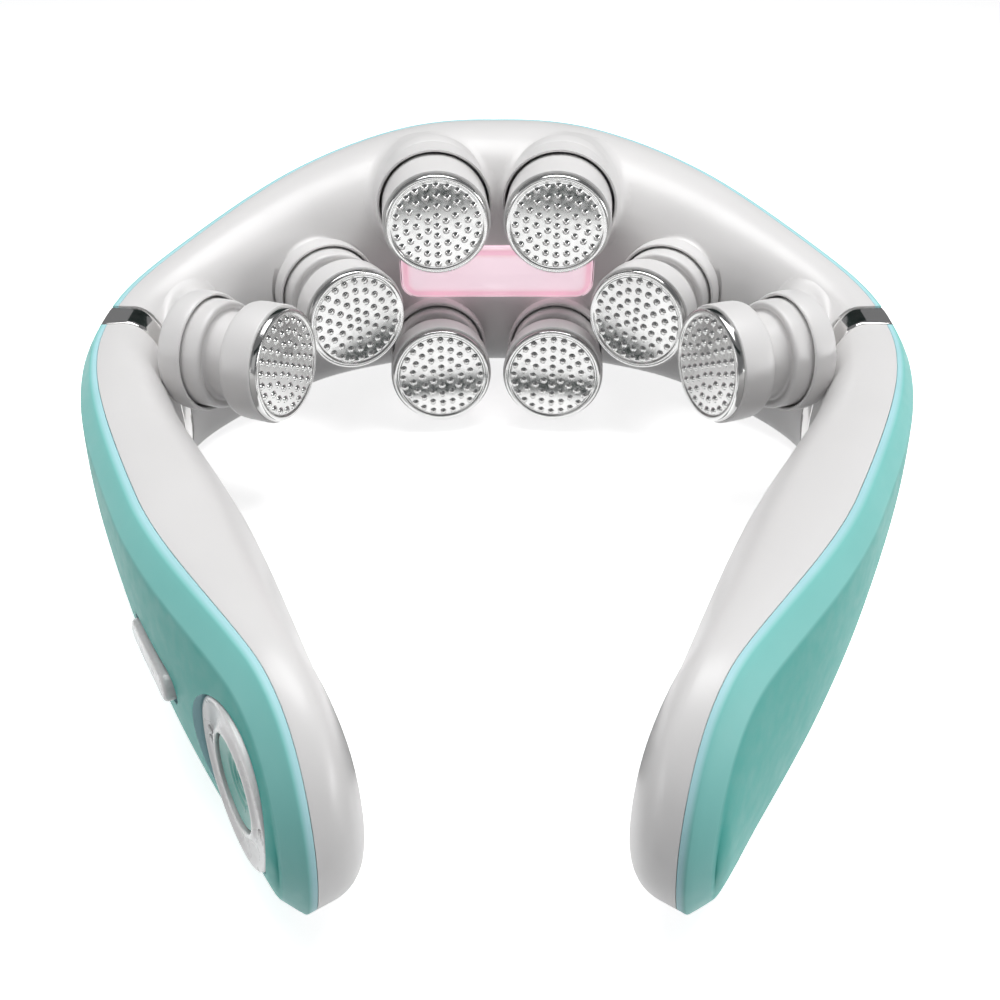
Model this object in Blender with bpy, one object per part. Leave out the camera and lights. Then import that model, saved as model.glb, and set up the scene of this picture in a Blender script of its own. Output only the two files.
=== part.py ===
"""Horseshoe neck massager with eight floating electrode heads.

Frame: Z up, resting plane at z = 0, +Y towards the back of the neck, symmetric about X = 0
apart from the controls, which sit in the arm on the -X side. Driving dimensions are in
millimetres; MM turns them into metres when a mesh is made.
"""
import math

import bmesh
import bpy
from mathutils import Matrix, Vector

MM = 0.001

# ---- plan of the parting line between the white shells and the teal covers (right half) ----
PLAN = [(0, 97.5), (24, 97.0), (50, 84), (71.2, 58.5), (77.8, 37), (72.2, 10.5), (53, -27),
        (31, -60.5), (20.8, -76.7)]
MIDDLE_Y = 12.48               # middle of the footprint, where the finished object's origin goes
BAND_Y = (38.6, 31.0)          # the chrome band lies between these two places on the parting line
TIP_RADIUS = 20.0              # length of the rounded end of an arm

# ---- height and thickness of the body ----
ARM_TOP = 38.5
BACK_TOP = 61.5
BACK_BOTTOM = 2.0
BACK_THICK = 19.0
BAND_THICK = 10.5
ARM_THICK = 15.6
TIP_THICK = 8.5
WALL = 2.0
SEAM = 0.3                     # gap between touching pieces
FLAT = 3.0                     # flat rim beside the parting line
ARM_POWER = 2.4                # roundness of the inner side of an arm
TIP_POWER = 0.62               # how the thickness falls away at a tip

# ---- outer covers ----
EDGE = 1.2
CHAMFER = 3.0
CHAMFER_OUT = 3.3
BULGE = 4.3
COVER_WALL = 1.7

# ---- a massage head, measured along its axis from the electrode's face (radius, depth) ----
ELECTRODE = [(0, 0.4), (10.3, 0.4), (10.6, 0.0), (11.2, 0.3), (11.2, 1.2), (0, 1.2)]
CUP = [(11.4, 1.6), (11.7, 2.2), (11.7, 7.0), (10.9, 8.2), (9.6, 8.3), (10.2, 6.9), (10.2, 3.2), (3.0, 3.2),
       (3.0, 1.6)]
STEM = [(0, 3.6), (2.2, 4.4), (2.2, 6.2), (1.4, 7.9), (8.6, 7.9), (8.6, 13.2), (10.8, 13.4), (10.8, 18.2),
        (9.4, 18.2), (9.4, 14.7), (7.0, 14.7), (7.0, 9.4), (0, 9.4)]
PIVOT_DEPTH = 5.3
BASE = [(11.3, 17.1), (11.7, 16.8), (12.0, 17.4), (12.0, 20.4), (11.2, 21.4), (8.0, 22.2), (2.0, 22.2),
        (2.0, 20.8), (11.3, 20.8)]
SPRING_RADIUS = 5.6
SPRING_WIRE = 0.45
SPRING_SPAN = (10.2, 17.8)
SPRING_TURNS = 2.5
BASE_CLEAR = (12.35, 22.5)     # room cut in the back shell for a head's base
HEAD_SEGMENTS = 14

# ---- heads: centre of the electrode's face on the right side, yaw and pitch of its axis ----
HEADS = {
    "outer": ((40.9, 24.1, 33.0), 70, 0),
    "middle": ((30.4, 49.0, 31.0), 30, 0),
    "upper": ((12.9, 57.3, 49.1), 6, -7),
    "lower": ((12.9, 53.0, 15.0), 6, 4),
}
# where each head's pedestal runs back to, with its radius at the head and at the wall
HOOD_DEPTH = 9.5               # the upper heads' pedestals are hoods that start this deep
PEDESTALS = {
    "outer": ((67.5, 49.0, 31.0), 7.6, 6.4),
    "middle": ((46.0, 76.0, 31.0), 10.6, 10.6),
    "upper": ((17.5, 90.0, 49.0), 13.5, 12.6),
    "lower": ((16.4, 84.0, 13.0), 10.0, 8.0),
}

# ---- controls in the left arm; each lies where the parting line passes its Y ----
CONTROL_Z = 20.6
DIAL_Y = -62.0
DIAL_RADIUS = 11.4
DIAL_BORE = 6.5
DIAL_TILT = 6.0                # degrees by which the ring faces upwards
CENTER_RADIUS = 6.2
BAR_Y = -39.5
BAR_LENGTH = 17.0
BAR_WIDTH = 4.6
CONTROL_OUT = 4.5
CONTROL_DEEP = 3.0

# ---- heat lens in the back's inner wall ----
LENS_WIDTH = 47.0
LENS_HEIGHT = 12.6
LENS_Z = 30.6
LENS_THICK = 2.6

# ---- hinge inside the band ----
HINGE_IN = 1.2
KNUCKLE_RADIUS = 1.5
PIN_RADIUS = 0.8
BORE_RADIUS = 0.95
HINGE_Z = (6.0, 12.0, 26.0, 32.0)
LEAF = (11.0, 1.3)             # length and thickness of a hinge leaf

COLORS = {
    "shell": ((0.80, 0.80, 0.80), 0.35, 0.0),
    "cover": ((0.20, 0.56, 0.52), 0.40, 0.0),
    "chrome": ((0.80, 0.80, 0.80), 0.12, 1.0),
    "electrode": ((0.75, 0.75, 0.74), 0.15, 1.0),
    "lens": ((0.95, 0.60, 0.70), 0.25, 0.0),
    "button": ((0.85, 0.85, 0.85), 0.30, 0.0),
    "center": ((0.12, 0.45, 0.38), 0.35, 0.0),
    "steel": ((0.55, 0.55, 0.56), 0.30, 1.0),
    "board": ((0.03, 0.25, 0.10), 0.50, 0.0),
    "battery": ((0.25, 0.30, 0.45), 0.45, 0.0),
}


# ------------------------------------------------------------------ scene and materials
def clear_scene():
    for item in list(bpy.data.objects):
        bpy.data.objects.remove(item, do_unlink=True)


def material(name):
    if name in bpy.data.materials:
        return bpy.data.materials[name]
    color, rough, metal = COLORS[name]
    made = bpy.data.materials.new(name)
    made.use_nodes = True
    shader = made.node_tree.nodes["Principled BSDF"]
    shader.inputs["Base Color"].default_value = (*color, 1.0)
    shader.inputs["Roughness"].default_value = rough
    shader.inputs["Metallic"].default_value = metal
    return made


def empty(name, place, parent=None):
    marker = bpy.data.objects.new(name, None)
    marker.empty_display_size = 0.01
    bpy.context.scene.collection.objects.link(marker)
    marker.parent = parent
    marker.location = place
    return marker


def add_object(name, bm, look, parent=None, origin=Vector((0, 0, 0)), smooth=True):
    """Closes bm's doubles, faces it outwards and makes the object, with its origin at a joint."""
    bmesh.ops.remove_doubles(bm, verts=bm.verts, dist=1e-6)
    bmesh.ops.dissolve_degenerate(bm, edges=bm.edges, dist=1e-7)
    bmesh.ops.recalc_face_normals(bm, faces=bm.faces)
    bmesh.ops.translate(bm, verts=bm.verts, vec=-origin)
    mesh = bpy.data.meshes.new(name)
    bm.to_mesh(mesh)
    bm.free()
    if smooth:
        mesh.shade_smooth()
        mesh.set_sharp_from_angle(angle=math.radians(35))
    made = bpy.data.objects.new(name, mesh)
    mesh.materials.append(material(look))
    bpy.context.scene.collection.objects.link(made)
    made.location = origin
    if parent:
        made.parent = parent
        made.location = origin - parent.matrix_world.translation
    return made


def cut(target, bm, name, operation="DIFFERENCE"):
    """Cuts or joins a hidden helper to the target with a live Boolean."""
    bmesh.ops.remove_doubles(bm, verts=bm.verts, dist=1e-6)
    bmesh.ops.recalc_face_normals(bm, faces=bm.faces)
    mesh = bpy.data.meshes.new(name)
    bm.to_mesh(mesh)
    bm.free()
    helper = bpy.data.objects.new(name, mesh)
    bpy.context.scene.collection.objects.link(helper)
    helper.hide_render = True
    helper.display_type = "WIRE"
    step = target.modifiers.new(name, "BOOLEAN")
    step.operation = operation
    step.solver = "EXACT"
    step.object = helper


# ------------------------------------------------------------------ plan curve
def spline(points, steps=12):
    """Catmull-Rom curve through points, mirrored at its start so that it crosses X = 0 square."""
    first = (-points[1][0], points[1][1])
    last = tuple(2 * a - b for a, b in zip(points[-1], points[-2]))
    knots = [Vector(p) for p in (first, *points, last)]
    path = []
    for a, b, c, d in zip(knots, knots[1:], knots[2:], knots[3:]):
        for k in range(steps):
            t = k / steps
            path.append(0.5 * (2 * b + (c - a) * t + (2 * a - 5 * b + 4 * c - d) * t ** 2
                               + (3 * b - a - 3 * c + d) * t ** 3))
    path.append(knots[-2])
    return path


PATH = spline(PLAN)
LENGTHS = [0.0]
for start, end in zip(PATH, PATH[1:]):
    LENGTHS.append(LENGTHS[-1] + (end - start).length)
END = LENGTHS[-1]


def along(s):
    """Point of the parting line and its direction at distance s from the middle of the back."""
    s = min(max(s, 0.0), END)
    k = 1
    while k < len(LENGTHS) - 1 and LENGTHS[k] < s:
        k += 1
    share = (s - LENGTHS[k - 1]) / (LENGTHS[k] - LENGTHS[k - 1])
    point = PATH[k - 1].lerp(PATH[k], share)
    before = PATH[max(k - 2, 0)] if k > 1 else Vector((-PATH[1].x, PATH[1].y))
    after = PATH[min(k + 1, len(PATH) - 1)]
    first = (PATH[k] - before).normalized()
    second = (after - PATH[k - 1]).normalized()
    return point, first.lerp(second, share).normalized()


def place(s, w, z):
    """World point at distance s along the parting line, w inwards from it, at height z (mm in, m out)."""
    point, ahead = along(abs(s))
    inward = Vector((ahead.y, -ahead.x))
    spot = point + inward * w
    side = -1.0 if s < 0 else 1.0
    return Vector((side * spot.x, spot.y, z)) * MM


def distance_at(y):
    """Distance along the parting line at which it passes height y on the plan, past the back."""
    for k in range(len(PATH) - 1, 0, -1):
        if PATH[k].y <= y <= PATH[k - 1].y:
            share = (PATH[k - 1].y - y) / (PATH[k - 1].y - PATH[k].y)
            return LENGTHS[k - 1] + share * (LENGTHS[k] - LENGTHS[k - 1])
    return 0.0


BACK_END = distance_at(BAND_Y[0])
ARM_START = distance_at(BAND_Y[1])
DIAL_AT = distance_at(DIAL_Y)
BAR_AT = distance_at(BAR_Y)


def smooth(a, b, value):
    t = min(max((value - a) / (b - a), 0.0), 1.0)
    return t * t * (3 - 2 * t)


def top(s):
    return BACK_TOP + (ARM_TOP - BACK_TOP) * smooth(2, 120, abs(s))


def bottom(s):
    return BACK_BOTTOM * (1 - smooth(40, BACK_END, abs(s)))


def thickness(s):
    s = abs(s)
    if s < BACK_END:
        return BACK_THICK + (BAND_THICK - BACK_THICK) * smooth(36, BACK_END, s)
    widest = ARM_START + 62
    grow = (ARM_THICK - BAND_THICK) * smooth(ARM_START - 4, widest, s)
    return BAND_THICK + grow - (ARM_THICK - TIP_THICK) * smooth(widest, END + 4, s)


def corner_heights(s):
    """How far the rounded corners of the inner side reach down from the top and up from the bottom."""
    half = (top(s) - bottom(s)) / 2
    wide = smooth(30, BACK_END, abs(s))
    return 18 + (half - 18) * wide, 12 + (half - 12) * wide


# ------------------------------------------------------------------ white shells
def inner_profile(s, wall, turn=0.0, steps=4):
    """Inner side at one station as (w, z) points, from the lower rim round to the upper rim.

    turn runs from 0 on the straight part to a quarter circle at the very tip of an arm.
    """
    middle = (top(s) + bottom(s)) / 2
    shrink = max(math.cos(turn), 0.0)
    deep = (thickness(s) - wall) * shrink ** TIP_POWER
    flat = min(FLAT, deep * 0.3)
    high, low = corner_heights(s)
    upper_end = top(s) - wall
    lower_end = bottom(s) + wall
    high -= wall
    low -= wall
    points = [(0.0, lower_end), (flat, lower_end)]
    for k in range(1, steps + 1):
        angle = math.pi / 2 * k / steps
        w = flat + (deep - flat) * math.sin(angle) ** (2 / ARM_POWER)
        points.append((w, lower_end + low * (1 - math.cos(angle) ** (2 / ARM_POWER))))
    for k in range(steps, 0, -1):
        angle = math.pi / 2 * k / steps
        w = flat + (deep - flat) * math.sin(angle) ** (2 / ARM_POWER)
        points.append((w, upper_end - high * (1 - math.cos(angle) ** (2 / ARM_POWER))))
    points += [(flat, upper_end), (0.0, upper_end)]
    return [(w, middle + (z - middle) * shrink) for w, z in points]


def skin(bm, rows, closed):
    """Quads between neighbouring rows of points; each row is a closed loop if closed is set."""
    grid = [[bm.verts.new(p) for p in row] for row in rows]
    for one, two in zip(grid, grid[1:]):
        count = len(one)
        for k in range(count if closed else count - 1):
            j = (k + 1) % count
            bm.faces.new((one[k], one[j], two[j], two[k]))
    return grid


def arm_stations(first, tip_steps=5):
    """(distance, turn) pairs from the band end of an arm to its tip."""
    straight_end = END - TIP_RADIUS
    count = 10
    list_ = [(first + (straight_end - first) * k / count, 0.0) for k in range(count + 1)]
    list_ += [(straight_end, math.pi / 2 * k / tip_steps) for k in range(1, tip_steps + 1)]
    return list_


def shell_rows(stations, side):
    rows = []
    for s, turn in stations:
        row = []
        for wall in (0.0, WALL):
            reach = (TIP_RADIUS - wall) * math.sin(turn)
            points = [(w, z, s + reach) for w, z in inner_profile(s, wall, turn)]
            row += points if wall == 0.0 else points[::-1]
        rows.append([place(side * d, w, z) for w, z, d in row])
    return rows


def close_end(bm, loop):
    """Closes the cut end of a shell between its outer and its inner outline."""
    half = len(loop) // 2
    for k in range(half - 1):
        bm.faces.new((loop[k], loop[k + 1], loop[-k - 2], loop[-k - 1]))


def inner_shell(name, stations, side, parent, origin, open_ends):
    bm = bmesh.new()
    grid = skin(bm, shell_rows(stations, side), closed=True)
    close_end(bm, grid[0])
    if open_ends == 2:
        close_end(bm, grid[-1])
    return add_object(name, bm, "shell", parent, origin)


# ------------------------------------------------------------------ teal covers
def cover_outline(stations, inset, ends):
    """Closed outline of a cover as (s, z): along the bottom, back along the top, then the end.

    ends holds the distances at which the cover is cut square; a tip closes itself.
    """
    lower, upper = [], []
    for s, turn in stations:
        reach = (TIP_RADIUS - inset) * math.sin(turn)
        d = s + reach
        d = max(d, ends[0] + inset)
        if len(ends) == 2:
            d = min(d, ends[1] - inset)
        middle = (top(s) + bottom(s)) / 2
        half = ((top(s) - bottom(s)) / 2 - inset) * max(math.cos(turn), 0.0)
        lower.append((d, middle - half))
        upper.append((d, middle + half))
    return lower, upper


RUNGS = (-0.55, 0.0, 0.55)     # rows across a cover's face, as shares of its half height


def cover_ring(stations, side, inset, out, ends):
    lower, upper = cover_outline(stations, inset, ends)
    loop = [place(side * s, -out, z) for s, z in lower]
    if len(ends) == 2:
        low, high = lower[-1], upper[-1]
        middle, half = (low[1] + high[1]) / 2, (high[1] - low[1]) / 2
        loop += [place(side * low[0], -out, middle + half * r) for r in RUNGS]
    loop += [place(side * s, -out, z) for s, z in reversed(upper)]
    low, high = lower[0], upper[0]
    middle, half = (low[1] + high[1]) / 2, (high[1] - low[1]) / 2
    loop += [place(side * low[0], -out, middle + half * r) for r in reversed(RUNGS)]
    return loop


def cover_face(bm, stations, side, inset, out, crown, ends):
    """Face of a cover inside the ring at inset, crowned by crown across its middle."""
    lower, upper = cover_outline(stations, inset, ends)
    rows = []
    last = len(lower) - 1
    for k, ((s, low), (_, high)) in enumerate(zip(lower, upper)):
        square = k == 0 or (len(ends) == 2 and k == last)
        middle, half = (low + high) / 2, (high - low) / 2
        row = [place(side * s, -out, low)]
        for r in RUNGS:
            lift = 0.0 if square else crown * (1 - r * r) * min(1.0, half / 8)
            row.append(place(side * s, -out - lift, middle + half * r))
        row.append(place(side * s, -out, high))
        rows.append(row)
    skin(bm, rows, closed=False)


def outer_cover(name, stations, side, parent, origin, ends):
    bm = bmesh.new()
    crown = BULGE - CHAMFER_OUT
    rings = [(CHAMFER + 0.7, CHAMFER_OUT - COVER_WALL), (1.6, 1.2), (1.6, SEAM), (0.0, SEAM), (0.0, EDGE),
             (CHAMFER, CHAMFER_OUT)]
    skin(bm, [cover_ring(stations, side, inset, out, ends) for inset, out in rings], closed=True)
    cover_face(bm, stations, side, *rings[0], crown, ends)
    cover_face(bm, stations, side, *rings[-1], crown, ends)
    return add_object(name, bm, "cover", parent, origin)


# ------------------------------------------------------------------ turned pieces
def turned(profile, frame, segments):
    """Solid of revolution: profile of (radius, depth) turned about frame's -Z axis."""
    bm = bmesh.new()
    verts = [bm.verts.new((r * MM, 0, -depth * MM)) for r, depth in profile]
    edges = [bm.edges.new(pair) for pair in zip(verts, verts[1:])]
    if profile[0][0] > 0:
        edges.append(bm.edges.new((verts[-1], verts[0])))
    bmesh.ops.spin(bm, geom=verts + edges, cent=(0, 0, 0), axis=(0, 0, 1), angle=2 * math.pi,
                   steps=segments, use_merge=True)
    bmesh.ops.remove_doubles(bm, verts=bm.verts, dist=1e-6)
    bmesh.ops.transform(bm, matrix=frame, verts=bm.verts)
    return bm


def frame_at(point, axis):
    """Matrix whose +Z runs along axis from point, with +X level."""
    axis = Vector(axis).normalized()
    level = Vector((0, 0, 1)).cross(axis)
    if level.length < 0.1:
        level = Vector((1, 0, 0))
    level.normalize()
    third = axis.cross(level)
    turn = Matrix((level, third, axis)).transposed().to_4x4()
    return Matrix.Translation(point) @ turn


def coil(radius, wire, span, turns, frame, around=8, sides=4):
    """Helical spring of round wire along frame's -Z axis."""
    bm = bmesh.new()
    rows = []
    count = int(turns * around)
    for k in range(count + 1):
        angle = 2 * math.pi * k / around
        depth = span[0] + (span[1] - span[0]) * k / count
        out = Vector((math.cos(angle), math.sin(angle), 0))
        centre = out * radius + Vector((0, 0, -depth))
        rows.append([(centre + out * wire * math.cos(a) + Vector((0, 0, wire * math.sin(a)))) * MM
                     for a in (2 * math.pi * j / sides for j in range(sides))])
    grid = skin(bm, rows, closed=True)
    bm.faces.new(grid[0])
    bm.faces.new(grid[-1])
    bmesh.ops.transform(bm, matrix=frame, verts=bm.verts)
    return bm


def tapered(frame, finish, radius_start, radius_end, segments=16):
    """Round pedestal from frame's origin to finish, with both ends square to frame's Z axis."""
    bm = bmesh.new()
    rows = []
    turn = frame.to_3x3()
    for point, radius in ((frame.translation, radius_start), (finish, radius_end)):
        rows.append([point + turn @ Vector((math.cos(a), math.sin(a), 0)) * radius * MM
                     for a in (2 * math.pi * k / segments for k in range(segments))])
    grid = skin(bm, rows, closed=True)
    bm.faces.new(grid[0])
    bm.faces.new(grid[-1])
    return bm


# ------------------------------------------------------------------ heads
def head_frame(kind, side):
    (x, y, z), yaw, pitch = HEADS[kind]
    yaw, pitch = math.radians(yaw), math.radians(pitch)
    axis = (-side * math.sin(yaw) * math.cos(pitch), -math.cos(yaw) * math.cos(pitch), math.sin(pitch))
    return frame_at(Vector((side * x, y, z)) * MM, axis)


def side_name(side):
    return "left" if side < 0 else "right"


def head(kind, side):
    frame = head_frame(kind, side)
    name = f"{side_name(side)}_{kind}"
    guide = frame @ Vector((0, 0, -BASE[0][1] * MM))
    pivot = frame @ Vector((0, 0, -PIVOT_DEPTH * MM))
    slider = empty(f"{name}_slide_axis", guide)
    tilter = empty(f"{name}_tilt_axis", pivot - guide, slider)
    bpy.context.view_layer.update()
    add_object(f"{name}_head_base", turned(BASE, frame, HEAD_SEGMENTS), "shell")
    add_object(f"{name}_head_stem", turned(STEM, frame, HEAD_SEGMENTS), "shell", slider, guide)
    spring = coil(SPRING_RADIUS, SPRING_WIRE, SPRING_SPAN, SPRING_TURNS, frame)
    add_object(f"{name}_head_spring", spring, "steel", slider, guide)
    add_object(f"{name}_head_cup", turned(CUP, frame, HEAD_SEGMENTS), "shell", tilter, pivot)
    add_object(f"{name}_electrode", turned(ELECTRODE, frame, HEAD_SEGMENTS), "electrode", tilter, pivot)


# ------------------------------------------------------------------ back
def rounded_box(size, radius, frame, corner_steps=4):
    """Box with its four edges along frame's Z rounded; size is width, height, depth in mm."""
    bm = bmesh.new()
    outline = []
    for cx, cy, start in ((1, 1, 0), (-1, 1, 90), (-1, -1, 180), (1, -1, 270)):
        for k in range(corner_steps + 1):
            angle = math.radians(start + 90 * k / corner_steps)
            outline.append((cx * (size[0] / 2 - radius) + radius * math.cos(angle),
                            cy * (size[1] / 2 - radius) + radius * math.sin(angle)))
    grid = skin(bm, [[Vector((x, y, z)) * MM for x, y in outline] for z in (-size[2] / 2, size[2] / 2)],
                closed=True)
    bm.faces.new(grid[0])
    bm.faces.new(grid[1])
    bmesh.ops.transform(bm, matrix=frame, verts=bm.verts)
    return bm


def back_stations(count=15):
    """Stations across the back, denser where the plan turns."""
    return [(BACK_END * k / count, 0.0) for k in range(-count, count + 1)]


def inner_wall_y():
    return PLAN[0][1] - BACK_THICK


def back_housing():
    shell = inner_shell("back_inner_shell", back_stations(), 1, None, Vector((0, 0, 0)), 2)
    radius, floor = BASE_CLEAR
    for side in (-1, 1):
        for kind, ((x, y, z), near, far) in PEDESTALS.items():
            front = HOOD_DEPTH if kind == "upper" else floor - 2.0
            start = head_frame(kind, side) @ Matrix.Translation((0, 0, -front * MM))
            post = tapered(start, Vector((side * x, y, z)) * MM, near, far)
            cut(shell, post, f"{side_name(side)}_{kind}_pedestal", "UNION")
    for side in (-1, 1):
        for kind in PEDESTALS:
            near = HOOD_DEPTH - 0.6 if kind == "upper" else 12.0
            room = [(0, near), (radius, near), (radius, floor), (0, floor)]
            cut(shell, turned(room, head_frame(kind, side), HEAD_SEGMENTS), f"{side_name(side)}_{kind}_room")
    face = frame_at(Vector((0, inner_wall_y(), LENS_Z)) * MM, (0, -1, 0))
    window = (LENS_WIDTH + 2 * SEAM, LENS_HEIGHT + 2 * SEAM, 12)
    cut(shell, rounded_box(window, 4.2, face), "lens_window")
    ends = (-BACK_END, BACK_END)
    stations = [(-BACK_END, 0.0)] + [(BACK_END * k / 12, 0.0) for k in range(-11, 12)] + [(BACK_END, 0.0)]
    outer_cover("back_outer_cover", stations, 1, None, Vector((0, 0, 0)), ends)
    lens_size = (LENS_WIDTH, LENS_HEIGHT, LENS_THICK)
    add_object("heat_lens", rounded_box(lens_size, 4.0, face), "lens")
    plate_frame = frame_at(Vector((0, inner_wall_y() + 4.6, LENS_Z)) * MM, (0, -1, 0))
    add_object("heater_plate", rounded_box((LENS_WIDTH + 3, LENS_HEIGHT - 1.6, 1.2), 2.0, plate_frame), "steel",
               smooth=False)


# ------------------------------------------------------------------ arms
def hinge_point(side):
    low = place(side * BACK_END, HINGE_IN, 0)
    return Vector((low.x, low.y, 0))


def ring_profile(s, wall):
    """Closed outline of the chrome band as (w, z): the inner side, then down the outer side."""
    points = [(w, z) for w, z in inner_profile(s, wall)][1:-1]
    out = -EDGE - 0.4 + wall
    high, low = top(s) - wall, bottom(s) + wall
    return points + [(out + 0.8, high), (out, high - 0.8), (out, low + 0.8), (out + 0.8, low)]


def hinge_ring(side, parent, origin):
    bm = bmesh.new()
    stations = (BACK_END + 0.5, (BACK_END + ARM_START) / 2, ARM_START - SEAM)
    rows = []
    for wall, order in ((0.0, stations), (1.1, stations[::-1])):
        rows += [[place(side * s, w, z) for w, z in ring_profile(s, wall)] for s in order]
    skin(bm, rows + rows[:1], closed=True)
    add_object(f"{side_name(side)}_hinge_ring", bm, "chrome", parent, origin)


def hinge_leaf(side, name, sections, bore, reach, parent, origin):
    """A row of knuckles on the hinge axis with a flat leaf; bore is None for the leaf with the pin."""
    axis_point = hinge_point(side)
    frame = Matrix.Translation(axis_point)
    low, high = sections
    if bore is None:
        z0, z1, z2, z3 = HINGE_Z
        profile = [(0, -z0), (KNUCKLE_RADIUS, -z0), (KNUCKLE_RADIUS, -z1), (PIN_RADIUS, -z1),
                   (PIN_RADIUS, -z2), (KNUCKLE_RADIUS, -z2), (KNUCKLE_RADIUS, -z3), (0, -z3)]
    else:
        profile = [(bore, -low), (KNUCKLE_RADIUS, -low), (KNUCKLE_RADIUS, -high), (bore, -high)]
    leaf = add_object(name, turned(profile, frame, 16), "steel", parent, origin)
    s0, s1 = reach
    for number, (bottom_z, top_z) in enumerate(((HINGE_Z[0], HINGE_Z[1]), (HINGE_Z[2], HINGE_Z[3]))
                                               if bore is None else ((low, high),)):
        bm = bmesh.new()
        rows = []
        for s in (s0, (s0 + s1) / 2, s1):
            rows.append([place(side * s, HINGE_IN + dw, z) for dw, z in
                         ((-LEAF[1] / 2, bottom_z + 0.4), (LEAF[1] / 2, bottom_z + 0.4),
                          (LEAF[1] / 2, top_z - 0.4), (-LEAF[1] / 2, top_z - 0.4))])
        grid = skin(bm, rows, closed=True)
        bm.faces.new(grid[0])
        bm.faces.new(grid[-1])
        cut(leaf, bm, f"{name}_plate_{number}", "UNION")


def hinge(side, parent, origin):
    word = side_name(side)
    z0, z1, z2, z3 = HINGE_Z
    hinge_ring(side, parent, origin)
    hinge_leaf(side, f"{word}_hinge_back_leaf", (z0, z3), None, (BACK_END - LEAF[0], BACK_END - 1.1), None,
               Vector((0, 0, 0)))
    hinge_leaf(side, f"{word}_hinge_arm_leaf", (z1 + SEAM, z2 - SEAM), BORE_RADIUS,
               (BACK_END + 1.15, BACK_END + LEAF[0] + 4), parent, origin)


def arm(side):
    origin = hinge_point(side)
    word = side_name(side)
    parent = empty(f"{word}_arm_axis", origin)
    bpy.context.view_layer.update()
    shell = inner_shell(f"{word}_arm_inner_shell", arm_stations(ARM_START), side, parent, origin, 1)
    start = ARM_START
    stations = [(start, 0.0)] + arm_stations(start + CHAMFER + 1.0)
    cover = outer_cover(f"{word}_arm_outer_cover", stations, side, parent, origin, (start,))
    hinge(side, parent, origin)
    return parent, origin, shell, cover


def outward_frame(side, s, z, out, tilt=0.0):
    """Frame on an arm's outer face: +Z outwards and tilted upwards by tilt degrees, +X level."""
    here = place(side * s, 0, z)
    away = (place(side * s, -1, z) - here).normalized()
    lifted = away + Vector((0, 0, math.tan(math.radians(tilt))))
    return frame_at(here + away * out * MM, lifted)


def controls(parent, origin, cover):
    """Bar button, ring rocker and centre button in the left arm, each through its own opening."""
    dial = outward_frame(-1, DIAL_AT, CONTROL_Z, CONTROL_OUT, DIAL_TILT)
    bar = outward_frame(-1, BAR_AT, CONTROL_Z, CONTROL_OUT)
    hole = [(0, -6), (DIAL_RADIUS + 0.4, -6), (DIAL_RADIUS + 0.4, 4.2), (0, 4.2)]
    cut(cover, turned(hole, dial, 32), "dial_hole")
    slot = (BAR_LENGTH + 0.8, BAR_WIDTH + 0.8, 12)
    cut(cover, rounded_box(slot, BAR_WIDTH / 2 + 0.39, bar), "bar_slot")
    deep = CONTROL_DEEP
    ring = [(DIAL_BORE, 0.5), (DIAL_BORE + 0.6, 0.1), (DIAL_RADIUS - 0.8, 0.0), (DIAL_RADIUS, 0.7),
            (DIAL_RADIUS, deep), (DIAL_BORE, deep)]
    add_object("dial_ring", turned(ring, dial, 32), "button", parent, dial.translation)
    button = [(0, 0.9), (3.4, 0.7), (CENTER_RADIUS - 0.6, 0.3), (CENTER_RADIUS, 0.7), (CENTER_RADIUS, deep),
              (0, deep)]
    add_object("center_button", turned(button, dial, 24), "center", parent, dial.translation)
    bar_frame = bar @ Matrix.Translation((0, 0, -deep / 2 * MM))
    bm = rounded_box((BAR_LENGTH, BAR_WIDTH, deep), BAR_WIDTH / 2 - 0.01, bar_frame)
    add_object("bar_button", bm, "button", parent, bar.translation)


def electronics(parents):
    """Control board, charging socket and battery inside the arms."""
    left_parent, left_origin, left_shell = parents[-1]
    right_parent, right_origin, _ = parents[1]
    board_at = outward_frame(-1, (DIAL_AT + BAR_AT) / 2 - 3, CONTROL_Z, -3.4)
    board = add_object("control_board", rounded_box((47, 24, 1.2), 2.0, board_at), "board", left_parent,
                       left_origin, smooth=False)
    for number, (s, z) in enumerate(((DIAL_AT, CONTROL_Z), (DIAL_AT - 9.0, CONTROL_Z),
                                     (BAR_AT, CONTROL_Z))):
        spot = outward_frame(-1, s, z, -1.9)
        cut(board, rounded_box((3.6, 3.6, 2.6), 0.4, spot, 1), f"switch_{number}", "UNION")
    port_at = place(-(ARM_START + 42), 6.5, 0)
    ahead = along(ARM_START + 42)[1]
    turn = Matrix.Rotation(math.atan2(ahead.y, -ahead.x), 4, "Z")
    port = Matrix.Translation(port_at + Vector((0, 0, 4.0 * MM))) @ turn
    socket = add_object("charging_socket", rounded_box((9.0, 3.4, 7.4), 1.6, port), "steel", left_parent,
                        left_origin)
    cut(socket, rounded_box((8.3, 2.7, 7.0), 1.3, port @ Matrix.Translation((0, 0, -1.2 * MM))), "port_room")
    cut(left_shell, rounded_box((9.8, 4.2, 9.0), 2.0, port), "port_hole")
    cell_at = outward_frame(1, ARM_START + 62, CONTROL_Z, -6.0)
    add_object("battery", rounded_box((46, 26, 6.0), 2.4, cell_at), "battery", right_parent, right_origin)


def centre_footprint():
    """Moves the whole object so that its origin lies under the middle of its footprint."""
    for item in bpy.data.objects:
        if item.parent is None:
            item.location.y -= MIDDLE_Y * MM


def main():
    clear_scene()
    back_housing()
    parents = {}
    for side in (-1, 1):
        parent, origin, shell, cover = arm(side)
        parents[side] = (parent, origin, shell)
        if side < 0:
            controls(parent, origin, cover)
    electronics(parents)
    for side in (-1, 1):
        for kind in HEADS:
            head(kind, side)
    centre_footprint()


main()
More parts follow.
